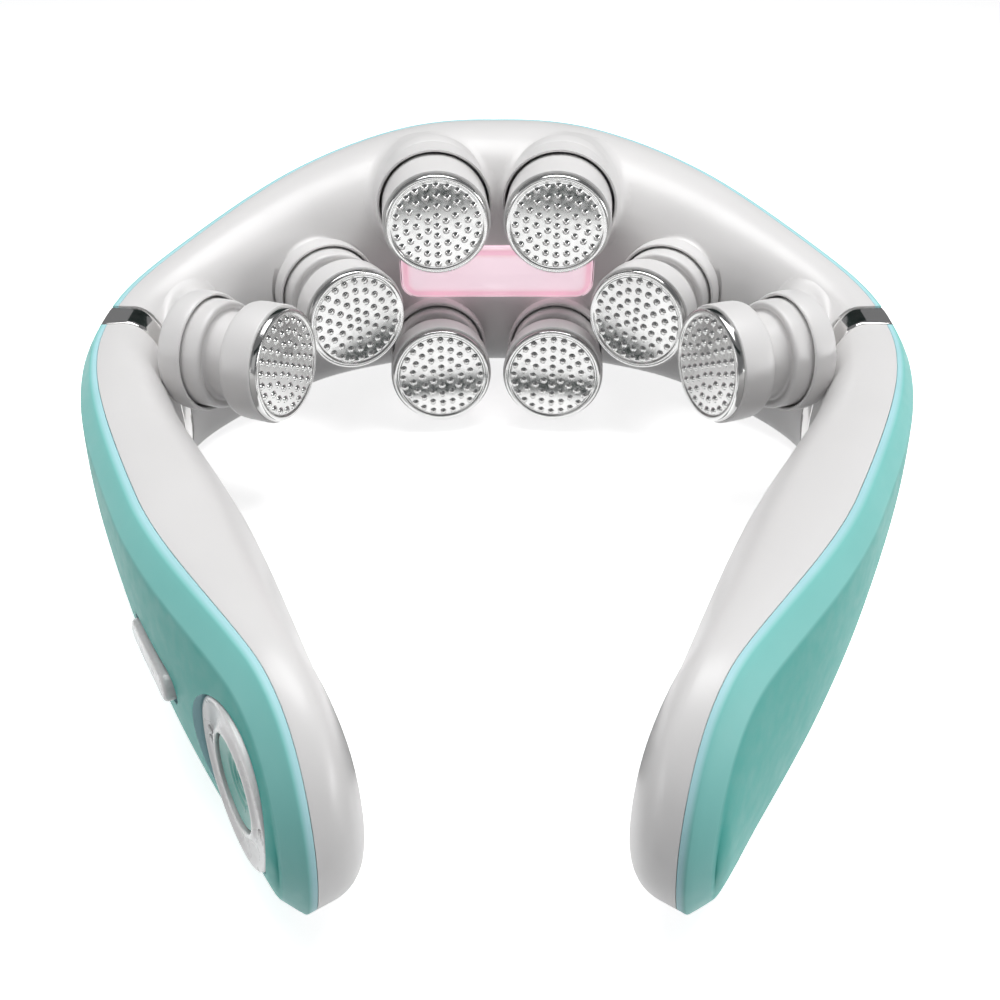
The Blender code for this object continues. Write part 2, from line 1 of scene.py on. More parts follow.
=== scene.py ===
"""Horseshoe neck massager: finished shells, covers, bands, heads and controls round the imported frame."""
import math

import bmesh
import bpy
from bpy.props import FloatProperty, FloatVectorProperty, IntProperty, PointerProperty
from mathutils import Matrix, Vector
from mathutils.bvhtree import BVHTree


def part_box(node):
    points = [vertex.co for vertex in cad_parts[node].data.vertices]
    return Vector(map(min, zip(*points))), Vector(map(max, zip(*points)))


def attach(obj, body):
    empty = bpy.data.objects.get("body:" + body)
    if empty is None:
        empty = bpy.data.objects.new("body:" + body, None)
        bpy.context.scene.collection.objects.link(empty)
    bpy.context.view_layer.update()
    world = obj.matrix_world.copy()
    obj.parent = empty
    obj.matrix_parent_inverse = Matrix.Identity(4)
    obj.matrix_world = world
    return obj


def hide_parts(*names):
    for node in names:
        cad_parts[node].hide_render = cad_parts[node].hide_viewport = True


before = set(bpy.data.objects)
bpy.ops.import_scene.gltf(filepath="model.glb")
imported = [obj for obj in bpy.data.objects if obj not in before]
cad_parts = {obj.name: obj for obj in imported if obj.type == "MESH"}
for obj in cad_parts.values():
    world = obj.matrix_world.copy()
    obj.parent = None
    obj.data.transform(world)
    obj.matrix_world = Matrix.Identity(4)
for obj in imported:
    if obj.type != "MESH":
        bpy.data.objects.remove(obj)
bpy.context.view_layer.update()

bl_info = {
    "name": "Neck massager",
    "version": (1, 0, 0),
    "blender": (4, 5, 0),
    "location": "View3D > Sidebar > Massager",
    "description": "Builds the finished pieces of a horseshoe neck massager on its packed frame",
    "category": "Add Mesh",
}

MM = 0.001
SIDES = ((-1, "left"), (1, "right"))
CREASE = 42                    # degrees from which an edge of a shell or cover stays sharp

# ---- body: plan of the parting line (right half), heights and thicknesses, in millimetres ----
PLAN = [(0, 97.5), (24, 97.0), (50, 84), (71.2, 58.5), (77.8, 37), (72.2, 10.5), (53, -27),
        (31, -60.5), (20.8, -76.7)]
MIDDLE_Y = 12.48
BAND_Y = (38.6, 31.0)
TIP_RADIUS = 20.0
ARM_TOP, BACK_TOP, BACK_BOTTOM = 38.5, 61.5, 2.0
BACK_THICK, BAND_THICK, ARM_THICK, TIP_THICK = 19.0, 10.5, 15.6, 8.5
WALL, SEAM, FLAT = 2.0, 0.3, 3.0
ARM_POWER, TIP_POWER = 2.4, 0.62
# Near an arm's tip the upper seam lies LEAN inwards, fading to nothing at height LEAN_Z. Half way along
# an arm the cover stands fuller by the share SWELL.
LEAN, LEAN_Z, SWELL = 3.3, 14.0, 0.24

# ---- covers ----
EDGE, CHAMFER, BULGE = 1.2, 3.0, 4.3

# ---- heads: face centre on the right side, yaw and pitch in degrees ----
HEADS = {
    "outer": ((40.9, 24.1, 33.0), 70, 0),
    "middle": ((30.4, 49.0, 31.0), 30, 0),
    "upper": ((12.9, 57.3, 49.1), 6, -7),
    "lower": ((12.9, 53.0, 15.0), 6, 4),
}
# Posts behind the heads: where the axis meets the back, radius at the head, radius there, and how
# widely the foot blends into the shell.
POSTS = {
    "outer": ((67.5, 49.0, 31.0), 8.4, 7.4, 3.5),
    "middle": ((46.0, 76.0, 31.0), 10.8, 11.0, 4.5),
    "upper": ((17.5, 92.0, 46.6), 12.95, 13.9, 2.4),
    "lower": ((16.4, 84.0, 13.0), 10.2, 9.0, 4.0),
}
ROOM_RADIUS, ROOM_FLOOR = 12.35, 22.5        # recess behind a head and how far behind the face it ends
HOOD_FRONT = 9.7                             # front rim of an upper head's hood, behind the face
HOOD_RIM = ((12.3, 6.3), (12.3, 0.45), (12.34, 0.2), (12.46, 0.05))     # radius and distance behind the rim

# ---- controls in the left arm, and the heat window ----
CONTROL_Z, DIAL_Y, BAR_Y = 20.6, -62.0, -39.5
DIAL_RADIUS, DIAL_BORE, CENTER_RADIUS, DIAL_TILT = 11.4, 6.5, 6.2, 6.0
BAR_LENGTH, BAR_WIDTH = 17.0, 4.6
CONTROL_OUT, CONTROL_DEEP = 4.5, 3.0
CONTROL_SEAT = CONTROL_OUT - 0.4             # how far out the ring and centre button sit
LENS_WIDTH, LENS_HEIGHT, LENS_Z = 47.0, 12.6, 30.6
PORT_AT = 42.0                               # charging port, from the band end of the left arm


# ------------------------------------------------------------------ the body's own curves
def spline(points, steps=40):
    """Smooth curve through points, mirrored at its start so that it crosses the middle square."""
    first = (-points[1][0], points[1][1])
    last = tuple(2 * a - b for a, b in zip(points[-1], points[-2]))
    knots = [Vector(p) for p in (first, *points, last)]
    path = []
    for a, b, c, d in zip(knots, knots[1:], knots[2:], knots[3:]):
        for k in range(steps):
            t = k / steps
            path.append(0.5 * (2 * b + (c - a) * t + (2 * a - 5 * b + 4 * c - d) * t ** 2
                               + (3 * b - a - 3 * c + d) * t ** 3))
    path.append(knots[-2])
    return path


PATH = spline(PLAN)
LENGTHS = [0.0]
for here, ahead in zip(PATH, PATH[1:]):
    LENGTHS.append(LENGTHS[-1] + (ahead - here).length)
END = LENGTHS[-1]


def along(s):
    """Point of the parting line and its direction at distance s from the middle of the back."""
    s = min(max(s, 0.0), END)
    low, high = 1, len(LENGTHS) - 1
    while low < high:
        half = (low + high) // 2
        if LENGTHS[half] < s:
            low = half + 1
        else:
            high = half
    k = low
    share = (s - LENGTHS[k - 1]) / (LENGTHS[k] - LENGTHS[k - 1])
    before = PATH[k - 2] if k > 1 else Vector((-PATH[1].x, PATH[1].y))
    after = PATH[min(k + 1, len(PATH) - 1)]
    first = (PATH[k] - before).normalized()
    second = (after - PATH[k - 1]).normalized()
    return PATH[k - 1].lerp(PATH[k], share), first.lerp(second, share).normalized()


def place(s, w, z):
    """Point at distance s along the parting line, w inwards from it, at height z; mm in, metres out."""
    point, forward = along(abs(s))
    if w < 0:
        w *= swell(s)
    inner = min(max(w, 0.0) / thickness(s), 1.0)
    w += lean(s) * (1 - inner) * (max(z - LEAN_Z, 0.0) / (ARM_TOP - LEAN_Z)) ** 1.5
    spot = point + Vector((forward.y, -forward.x)) * w
    return Vector(((-1.0 if s < 0 else 1.0) * spot.x, spot.y - MIDDLE_Y, z)) * MM


def distance_at(y):
    """Distance along the right half of the parting line at which it reaches y."""
    for k in range(len(PATH) - 1, 0, -1):
        if PATH[k].y <= y <= PATH[k - 1].y:
            share = (PATH[k - 1].y - y) / (PATH[k - 1].y - PATH[k].y)
            return LENGTHS[k - 1] + share * (LENGTHS[k] - LENGTHS[k - 1])
    return 0.0


BACK_END, ARM_START = distance_at(BAND_Y[0]), distance_at(BAND_Y[1])
DIAL_AT, BAR_AT = distance_at(DIAL_Y), distance_at(BAR_Y)


def ease(a, b, value):
    """0 below a, 1 above b, and a smooth step between them."""
    t = min(max((value - a) / (b - a), 0.0), 1.0)
    return t * t * (3 - 2 * t)


def top(s):
    """Height of the body's upper rim at distance s."""
    return BACK_TOP + (ARM_TOP - BACK_TOP) * ease(2, 120, abs(s))


def bottom(s):
    """Height of the body's lower rim at distance s."""
    return BACK_BOTTOM * (1 - ease(40, BACK_END, abs(s)))


def thickness(s):
    """How far in the body reaches from its parting line at distance s."""
    s = abs(s)
    if s < BACK_END:
        return BACK_THICK + (BAND_THICK - BACK_THICK) * ease(36, BACK_END, s)
    widest = ARM_START + 62
    grow = (ARM_THICK - BAND_THICK) * ease(ARM_START - 4, widest, s)
    return BAND_THICK + grow - (ARM_THICK - TIP_THICK) * ease(widest, END + 4, s)


def lean(s):
    """How far an arm's upper seam leans inwards at distance s."""
    return LEAN * ease(BAR_AT - 14, DIAL_AT + 12, abs(s))


def swell(s):
    """How much fuller the covers stand out at distance s."""
    s = abs(s)
    return 1 + SWELL * ease(ARM_START + 6, ARM_START + 44, s) * (1 - ease(BAR_AT, END - 10, s))


def profile(s, wall, turn=0.0, steps=16):
    """Inner side at one station as (w, z), from the lower rim round to the upper rim."""
    middle = (top(s) + bottom(s)) / 2
    shrink = max(math.cos(turn), 0.0)
    deep = (thickness(s) - wall) * shrink ** TIP_POWER
    flat = min(FLAT, deep * 0.3)
    half = (top(s) - bottom(s)) / 2
    wide = ease(30, BACK_END, abs(s))
    high = 18 + (half - 18) * wide - wall
    low = 12 + (half - 12) * wide - wall
    roof, floor = top(s) - wall, bottom(s) + wall
    soft = min(0.10, deep * 0.02)
    points = [(0.0, floor + soft), (soft * 0.3, floor + soft * 0.3), (soft, floor), (flat, floor)]
    for k in range(1, steps + 1):
        angle = math.pi / 2 * k / steps
        w = flat + (deep - flat) * math.sin(angle) ** (2 / ARM_POWER)
        points.append((w, floor + low * (1 - math.cos(angle) ** (2 / ARM_POWER))))
    straight = points[-1]
    start = (straight[0], roof - high)
    for k in range(1, 6):
        points.append((straight[0], straight[1] + (start[1] - straight[1]) * k / 6))
    for k in range(steps, 0, -1):
        angle = math.pi / 2 * k / steps
        w = flat + (deep - flat) * math.sin(angle) ** (2 / ARM_POWER)
        points.append((w, roof - high * (1 - math.cos(angle) ** (2 / ARM_POWER))))
    points += [(flat, roof), (soft, roof), (soft * 0.3, roof - soft * 0.3), (0.0, roof - soft)]
    return [(w, middle + (z - middle) * shrink) for w, z in points]


# ------------------------------------------------------------------ mesh helpers
def patch(bm, rows, uvs=None):
    """Grid of faces laid through rows of points, with the rows' own UVs if they are given."""
    high, wide = len(rows) - 1, len(rows[0]) - 1
    made = bmesh.ops.create_grid(bm, x_segments=wide, y_segments=high, size=1.0)["verts"]
    reach = max(v.co.x for v in made)
    spot = {}
    for vert in made:
        i = round((vert.co.x / reach + 1) / 2 * wide)
        j = round((vert.co.y / reach + 1) / 2 * high)
        spot[vert] = (j, i)
    for vert, (j, i) in spot.items():
        vert.co = rows[j][i]
    if uvs:
        layer = bm.loops.layers.uv.verify()
        for face in {f for v in made for f in v.link_faces}:
            for loop in face.loops:
                j, i = spot[loop.vert]
                loop[layer].uv = uvs[j][i]
    return made


def turned(outline, at, segments=72):
    """Solid of revolution from (radius, depth) points, spun about the -Z axis of the matrix at."""
    bm = bmesh.new()
    verts = [bm.verts.new((r * MM, 0, -depth * MM)) for r, depth in outline]
    edges = [bm.edges.new(pair) for pair in zip(verts, verts[1:])]
    if outline[0][0] > 0:
        edges.append(bm.edges.new((verts[-1], verts[0])))
    bmesh.ops.spin(bm, geom=verts + edges, cent=(0, 0, 0), axis=(0, 0, 1), angle=2 * math.pi,
                   steps=segments, use_merge=True)
    bmesh.ops.remove_doubles(bm, verts=bm.verts, dist=1e-6)
    bmesh.ops.transform(bm, matrix=at, verts=bm.verts)
    return bm


def softened(corners, steps=4):
    """Outline whose corners (x, y, radius) are rounded; an open outline keeps its two ends."""
    points = []
    for k, (x, y, radius) in enumerate(corners):
        here = Vector((x, y))
        if radius == 0 or k in (0, len(corners) - 1):
            points.append((x, y))
            continue
        before, after = Vector(corners[k - 1][:2]), Vector(corners[k + 1][:2])
        back = min(radius, (before - here).length * 0.49)
        on = min(radius, (after - here).length * 0.49)
        start = here + (before - here).normalized() * back
        finish = here + (after - here).normalized() * on
        for j in range(steps + 1):
            t = j / steps
            point = start * (1 - t) ** 2 + here * 2 * t * (1 - t) + finish * t ** 2
            points.append((point.x, point.y))
    return points


def frame_at(point, axis):
    """Matrix whose +Z runs along axis from point, with +X level."""
    axis = Vector(axis).normalized()
    level = Vector((0, 0, 1)).cross(axis)
    if level.length < 0.1:
        level = Vector((1, 0, 0))
    level.normalize()
    turn = Matrix((level, axis.cross(level), axis)).transposed().to_4x4()
    return Matrix.Translation(point) @ turn


def stadium(size, radius, at, corner_steps=10, soft=0.0):
    """Box with rounded corners about the Z axis of at; soft rounds its front and back edges."""
    bm = bmesh.new()
    made = bmesh.ops.create_cube(bm, size=1.0)["verts"]
    bmesh.ops.scale(bm, vec=Vector(size) * MM, verts=made)
    upright = [e for e in bm.edges if abs((e.verts[0].co - e.verts[1].co).normalized().z) > 0.9]
    bmesh.ops.bevel(bm, geom=upright, offset=radius * MM, offset_type="OFFSET", segments=corner_steps,
                    profile=0.5, affect="EDGES", material=-1)
    if soft:
        rims = [e for e in bm.edges if abs(e.verts[0].co.z - e.verts[1].co.z) < 1e-7
                and any(len(f.verts) > 4 for f in e.link_faces)]
        bmesh.ops.bevel(bm, geom=rims, offset=soft * MM, offset_type="OFFSET", segments=4, profile=0.5,
                        affect="EDGES", material=-1)
    bmesh.ops.transform(bm, matrix=at, verts=bm.verts)
    return bm


def joined(bm, more):
    """Adds the geometry of one bmesh to another."""
    spare = bpy.data.meshes.new("spare")
    more.to_mesh(spare)
    more.free()
    bm.from_mesh(spare)
    bpy.data.meshes.remove(spare)


def solid(name, bm):
    """Object from bm, with its doubles merged and its faces outwards."""
    bmesh.ops.remove_doubles(bm, verts=bm.verts, dist=2e-6)
    bmesh.ops.dissolve_degenerate(bm, edges=bm.edges, dist=1e-7)
    bmesh.ops.recalc_face_normals(bm, faces=bm.faces)
    mesh = bpy.data.meshes.new(name)
    bm.to_mesh(mesh)
    bm.free()
    made = bpy.data.objects.new(name, mesh)
    bpy.context.scene.collection.objects.link(made)
    return made


def carve(piece, tools, operation="DIFFERENCE"):
    """Cuts each tool from the piece, or joins it on, and leaves a plain mesh."""
    for tool in tools:
        helper = solid("helper", tool)
        step = piece.modifiers.new("cut", "BOOLEAN")
        step.operation = operation
        step.solver = "EXACT"
        step.object = helper
        graph = bpy.context.evaluated_depsgraph_get()
        mesh = bpy.data.meshes.new_from_object(piece.evaluated_get(graph))
        piece.modifiers.clear()
        old = piece.data
        piece.data = mesh
        mesh.name = piece.name
        bpy.data.meshes.remove(old)
        bpy.data.objects.remove(helper, do_unlink=True)


def finished(piece, body, look, nodes, sharp=38):
    """Smooths, dresses and seats a piece on its body in place of its plain nodes."""
    piece.data.shade_smooth()
    piece.data.set_sharp_from_angle(angle=math.radians(sharp))
    piece.data.materials.clear()
    piece.data.materials.append(look)
    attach(piece, body)
    if nodes:
        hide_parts(*nodes)
    return piece


# ------------------------------------------------------------------ materials
def shader(name):
    """New node material: (material, nodes, links, Principled shader, object coordinates)."""
    made = bpy.data.materials.new(name)
    made.use_nodes = True
    nodes, links = made.node_tree.nodes, made.node_tree.links
    principled = nodes["Principled BSDF"]
    texture = nodes.new("ShaderNodeTexCoord")
    return made, nodes, links, principled, texture.outputs["Object"]


def put(principled, values):
    """Sets sockets of the Principled shader to constants."""
    for name, value in values.items():
        principled.inputs[name].default_value = value


def noise(nodes, links, vector, scale, detail=3.0, stretch=None):
    """Noise value at a scale in cycles per metre, stretched along the axes if asked."""
    if stretch:
        mapping = nodes.new("ShaderNodeMapping")
        mapping.inputs["Scale"].default_value = stretch
        links.new(vector, mapping.inputs["Vector"])
        vector = mapping.outputs["Vector"]
    grain = nodes.new("ShaderNodeTexNoise")
    grain.inputs["Scale"].default_value = scale
    grain.inputs["Detail"].default_value = detail
    links.new(vector, grain.inputs["Vector"])
    return grain.outputs["Fac"]


def spread(nodes, links, value, low, high):
    """The 0.3 to 0.7 part of a noise value, spread over low to high."""
    span = nodes.new("ShaderNodeMapRange")
    span.inputs["From Min"].default_value = 0.3
    span.inputs["From Max"].default_value = 0.7
    span.inputs["To Min"].default_value = low
    span.inputs["To Max"].default_value = high
    links.new(value, span.inputs["Value"])
    return span.outputs["Result"]


def blended(nodes, links, factor, first, second):
    """Colour between first and second; each is a colour or an output."""
    mix = nodes.new("ShaderNodeMix")
    mix.data_type = "RGBA"
    links.new(factor, mix.inputs[0])
    for socket, colour in ((mix.inputs[6], first), (mix.inputs[7], second)):
        if isinstance(colour, bpy.types.NodeSocket):
            links.new(colour, socket)
        else:
            socket.default_value = (*colour[:3], 1.0)
    return mix.outputs[2]


def tinted(colour, by):
    """Colour multiplied by a share and kept between 0 and 1."""
    return tuple(max(0.0, min(1.0, c * by)) for c in colour[:3])


def bumped(nodes, links, principled, height, strength, distance):
    """Fine relief from a height value; distance is in metres."""
    bump = nodes.new("ShaderNodeBump")
    bump.inputs["Strength"].default_value = strength
    bump.inputs["Distance"].default_value = distance
    links.new(height, bump.inputs["Height"])
    links.new(bump.outputs["Normal"], principled.inputs["Normal"])


def edge_ramp(nodes, links, stops):
    """Colour chosen by the height in the UV map "Edge", from (height, colour) stops."""
    uv = nodes.new("ShaderNodeUVMap")
    uv.uv_map = "Edge"
    parts = nodes.new("ShaderNodeSeparateXYZ")
    links.new(uv.outputs["UV"], parts.inputs["Vector"])
    ramp = nodes.new("ShaderNodeValToRGB")
    links.new(parts.outputs["Y"], ramp.inputs["Fac"])
    band = ramp.color_ramp
    while len(band.elements) < len(stops):
        band.elements.new(0.5)
    for element, (spot, colour) in zip(band.elements, stops):
        element.position = spot
        element.color = (*colour[:3], 1.0)
    return ramp.outputs["Color"]


def satin_plastic(name, colour, rough=0.38, coat=0.14):
    """Moulded plastic: faint cloudiness, uneven gloss and a fine moulded texture."""
    made, nodes, links, principled, coords = shader(name)
    cloud = noise(nodes, links, coords, 45, 3)
    share = spread(nodes, links, cloud, 0, 1)
    tone = blended(nodes, links, share, tinted(colour, 0.985), tinted(colour, 1.015))
    links.new(tone, principled.inputs["Base Color"])
    gloss = noise(nodes, links, coords, 240, 4)
    links.new(spread(nodes, links, gloss, rough - 0.03, rough + 0.04), principled.inputs["Roughness"])
    put(principled, {"Coat Weight": coat, "Coat Roughness": 0.22})
    bumped(nodes, links, principled, noise(nodes, links, coords, 2600, 2), 0.06, 0.00004)
    return made


def cover_plastic(name, colours):
    """Soft-touch cover: face, bevel and edge, chosen by how far out the surface stands; the bevel and edge
    are painted lighter, as painted light for the light their slopes catch.
    """
    made, nodes, links, principled, coords = shader(name)
    # Painted light: the bevel and the edge get a lighter teal than the face, standing in for the light the
    # chamfer and edge catch.
    stops = [(0.0, colours.cover_edge_painted_light), (0.055, colours.cover_edge_painted_light), (0.115, colours.cover_bevel_painted_light),
             (0.318, colours.cover_bevel_painted_light), (0.338, colours.cover)]
    cloud = spread(nodes, links, noise(nodes, links, coords, 60, 3), 0.0, 0.10)
    tone = blended(nodes, links, cloud, edge_ramp(nodes, links, stops), tinted(colours.cover, 0.80))
    links.new(tone, principled.inputs["Base Color"])
    links.new(spread(nodes, links, noise(nodes, links, coords, 420, 4), 0.42, 0.52),
              principled.inputs["Roughness"])
    put(principled, {"Specular IOR Level": 0.28})
    bumped(nodes, links, principled, noise(nodes, links, coords, 4200, 2), 0.10, 0.00004)
    return made


def polished_metal(name, colour, rough, streak):
    """Plated or polished metal with faint wiping marks and small changes of gloss."""
    made, nodes, links, principled, coords = shader(name)
    put(principled, {"Metallic": 1.0})
    cloud = noise(nodes, links, coords, 90, 3)
    share = spread(nodes, links, cloud, 0, 1)
    tone = blended(nodes, links, share, tinted(colour, 0.96), tinted(colour, 1.03))
    links.new(tone, principled.inputs["Base Color"])
    wiped = noise(nodes, links, coords, 700, 4, streak)
    links.new(spread(nodes, links, wiped, rough * 0.7, rough * 1.4), principled.inputs["Roughness"])
    bumped(nodes, links, principled, wiped, 0.03, 0.00002)
    return made


def window_plastic(name, colours):
    """Warm translucent window, deeper in colour in a band inside its edge, with a faint painted glow given
    out by its own colour.
    """
    made, nodes, links, principled, coords = shader(name)
    stops = [(0.0, colours.window), (0.07, colours.window_band), (0.14, colours.window_band),
             (0.25, colours.window)]
    cloud = spread(nodes, links, noise(nodes, links, coords, 160, 3), 0.0, 0.07)
    tone = blended(nodes, links, cloud, edge_ramp(nodes, links, stops), colours.window_band)
    links.new(tone, principled.inputs["Base Color"])
    # Painted glow: the window's colour is also given out as light, though the window is no lamp.
    links.new(tone, principled.inputs["Emission Color"])
    put(principled, {"Emission Strength": 0.62})
    links.new(spread(nodes, links, noise(nodes, links, coords, 300, 3), 0.20, 0.28),
              principled.inputs["Roughness"])
    put(principled, {"Coat Weight": 0.4, "Coat Roughness": 0.12})
    bumped(nodes, links, principled, noise(nodes, links, coords, 900, 2), 0.05, 0.00005)
    return made


def floor_paper(name, colour):
    """Matt paper that glows faintly, so that it stays pale in the shade."""
    made, nodes, links, principled, coords = shader(name)
    cloud = spread(nodes, links, noise(nodes, links, coords, 6, 3), 0, 1)
    links.new(blended(nodes, links, cloud, tinted(colour, 0.995), tinted(colour, 1.0)),
              principled.inputs["Base Color"])
    put(principled, {"Roughness": 0.85, "Specular IOR Level": 0.2,
                     "Emission Color": (1.0, 1.0, 1.0, 1.0), "Emission Strength": 0.70})
    return made


def dark_card(name):
    """Matt green-black card that gives the metal something dark to reflect."""
    made, nodes, links, principled, coords = shader(name)
    cloud = spread(nodes, links, noise(nodes, links, coords, 9, 3), 0, 1)
    links.new(blended(nodes, links, cloud, (0.010, 0.020, 0.018), (0.020, 0.035, 0.032)),
              principled.inputs["Base Color"])
    put(principled, {"Roughness": 0.9})
    return made


def look(name):
    """The named material, made the first time it is asked for."""
    if name in bpy.data.materials:
        return bpy.data.materials[name]
    colours = bpy.context.scene.massager_colours
    makers = {
        "shell satin": lambda: satin_plastic(name, colours.shell),
        "cover soft": lambda: cover_plastic(name, colours),
        "band chrome": lambda: polished_metal(name, colours.chrome, 0.10, (1, 1, 0.08)),
        "pad steel": lambda: polished_metal(name, colours.pad, 0.13, None),
        "window pink": lambda: window_plastic(name, colours),
        "button satin": lambda: satin_plastic(name, colours.button, 0.28, 0.35),
        "centre teal": lambda: satin_plastic(name, colours.centre, 0.30, 0.15),
        "hidden steel": lambda: polished_metal(name, colours.steel, 0.30, (0.2, 1, 1)),
        "board green": lambda: satin_plastic(name, colours.board, 0.45, 0.3),
        "cell wrap": lambda: satin_plastic(name, colours.cell, 0.38, 0.2),
    }
    return makers[name]()


# ------------------------------------------------------------------ shells and covers
def arm_stations(first, count=64, tip_steps=18):
    """(distance, turn) pairs from the band end of an arm to its tip."""
    straight = END - TIP_RADIUS
    made = [(first + (straight - first) * k / count, 0.0) for k in range(count + 1)]
    return made + [(straight, math.pi / 2 * k / tip_steps) for k in range(1, tip_steps + 1)]


def shell_bmesh(stations, side, open_ends):
    """Hollow C-section shell swept along the body, closed at its cut ends."""
    bm = bmesh.new()
    walls = {}
    for wall in (0.0, WALL):
        walls[wall] = [[place(side * (s + (TIP_RADIUS - wall) * math.sin(turn)), w, z)
                        for w, z in profile(s, wall, turn)] for s, turn in stations]
        patch(bm, walls[wall])
    for k in (0, -1):
        patch(bm, [[row[k] for row in walls[0.0]], [row[k] for row in walls[WALL]]])
    for k in (0, -1)[:open_ends]:
        patch(bm, [walls[0.0][k], walls[WALL][k]])
    return bm


RUNGS = [-0.92 + 1.84 * k / 22 for k in range(23)]


def cover_outline(stations, inset, ends):
    """Bottom and top edges of a cover as (s, z) pairs, cut square at the distances in ends."""
    lower, upper = [], []
    for s, turn in stations:
        d = max(s + (TIP_RADIUS - inset) * math.sin(turn), ends[0] + inset)
        if len(ends) == 2:
            d = min(d, ends[1] - inset)
        middle = (top(s) + bottom(s)) / 2
        half = ((top(s) - bottom(s)) / 2 - inset) * max(math.cos(turn), 0.0)
        lower.append((d, middle - half))
        upper.append((d, middle + half))
    return lower, upper


def cover_ring(stations, inset, ends):
    """Closed outline of a cover as (s, z), drawn in by inset."""
    lower, upper = cover_outline(stations, inset, ends)
    loop = list(lower)
    if len(ends) == 2:
        (d, low), (_, high) = lower[-1], upper[-1]
        loop += [(d, (low + high) / 2 + (high - low) / 2 * r) for r in RUNGS]
    loop += upper[::-1]
    (d, low), (_, high) = lower[0], upper[0]
    loop += [(d, (low + high) / 2 + (high - low) / 2 * r) for r in reversed(RUNGS)]
    return loop + loop[:1]


def cover_face(bm, stations, side, inset, out, crown, ends):
    """Crowned face of a cover inside the ring at inset."""
    lower, upper = cover_outline(stations, inset, ends)
    rows, uvs = [], []
    last = len(lower) - 1
    for k, ((s, low), (_, high)) in enumerate(zip(lower, upper)):
        square = k == 0 or (len(ends) == 2 and k == last)
        near = min(abs(s - e) for e in ends) - inset
        rise = 0.0 if square else crown * min(1.0, (high - low) / 16) * ease(-1, 14, near)
        middle, half = (low + high) / 2, (high - low) / 2
        row = [place(side * s, -out - rise * (1 - r * r), middle + half * r) for r in (-1, *RUNGS, 1)]
        rows.append(row)
        uvs.append([(s / 100, out / 10 + 0.02) for _ in row])
    patch(bm, rows, uvs)


def cover_bmesh(stations, side, ends):
    """Closed cover plate: inner face, lip, edge, bevel and crowned outer face; the material paints the edge
    and bevel lighter, as painted light.
    """
    bm = bmesh.new()
    rings = [(3.7, 1.6), (1.6, 1.2), (1.6, 0.05), (0.12, 0.05), (0.03, 0.08), (0.0, 0.14),
             (0.0, EDGE - 0.18), (0.04, EDGE - 0.04), (0.14, EDGE + 0.08), (1.0, 1.90), (2.0, 2.60),
             (2.72, 3.08), (2.95, 3.22), (3.2, 3.32), (3.6, 3.40)]
    loops, uvs = [], []
    for inset, out in rings:
        ring = cover_ring(stations, inset, ends)
        loops.append([place(side * s, -out, z) for s, z in ring])
        uvs.append([(s / 100, out / 10) for s, z in ring])
    patch(bm, loops, uvs)
    crown = BULGE - rings[-1][1]
    cover_face(bm, stations, side, *rings[0], crown, ends)
    cover_face(bm, stations, side, *rings[-1], crown, ends)
    return bm


def name_uv(piece):
    """Names the piece's UV map, which carries how far out each place stands."""
    for layer in piece.data.uv_layers:
        layer.name = "Edge"
    return piece


# ------------------------------------------------------------------ heads
def head_frame(kind, side):
    """Matrix at the middle of a head's face, with +Z out of the face."""
    (x, y, z), yaw, pitch = HEADS[kind]
    yaw, pitch = math.radians(yaw), math.radians(pitch)
    axis = (-side * math.sin(yaw) * math.cos(pitch), -math.cos(yaw) * math.cos(pitch), math.sin(pitch))
    return frame_at(Vector((side * x, y - MIDDLE_Y, z)) * MM, axis)


def post_skirt(bm, kind, side, surface, count=96):
    """Round post behind a head, flared so that it runs out smoothly on the shell's surface."""
    (x, y, z), near, far, blend = POSTS[kind]
    at = head_frame(kind, side)
    turn = at.to_3x3()
    hood = kind == "upper"
    front = HOOD_FRONT if hood else ROOM_FLOOR
    start = at @ Vector((0, 0, -front * MM))
    finish = Vector((side * x, y - MIDDLE_Y, z)) * MM
    columns = []
    for k in range(count + 1):
        angle = 2 * math.pi * k / count
        radial = turn @ Vector((math.cos(angle), math.sin(angle), 0))
        first = start + radial * near * MM
        aim = (finish + radial * far * MM) - first
        forward = aim.normalized()
        hit, normal, _, _ = surface.ray_cast(first + forward * 0.2 * MM, forward)
        if hit is None or (hit - first).length > aim.length * 1.25:     # it has run past the shell's rim
            hit, normal, _, _ = surface.find_nearest(first + aim * 0.92)
        if normal.dot(forward) > 0:
            normal = -normal
        away = (radial - normal * radial.dot(normal)).normalized()
        room = min(blend * MM, (hit - first).length * 0.8)
        landing, face, _, _ = surface.find_nearest(hit + away * room)
        if face.dot(normal) < 0:
            face = -face
        column = []
        if hood:
            for r, behind in HOOD_RIM:
                inside = Vector((r * math.cos(angle), r * math.sin(angle), -front - behind))
                column.append(at @ (inside * MM))
            column.append(first - radial * 0.28 * MM)
            column.append(first - radial * 0.08 * MM + forward * 0.06 * MM)
        column.append(first + forward * (0.22 * MM if hood else 0.0))
        bend = hit - forward * room
        tail = column[-1]
        straight = bend - tail
        column += [tail + straight * j / 6 for j in range(1, 7)]
        for j in range(1, 13):
            t = j / 12
            column.append(bend * (1 - t) ** 2 + hit * 2 * t * (1 - t) + landing * t ** 2)
        column.append(landing + away * 0.5 * MM - face * 0.25 * MM)
        columns.append(column)
    patch(bm, columns)


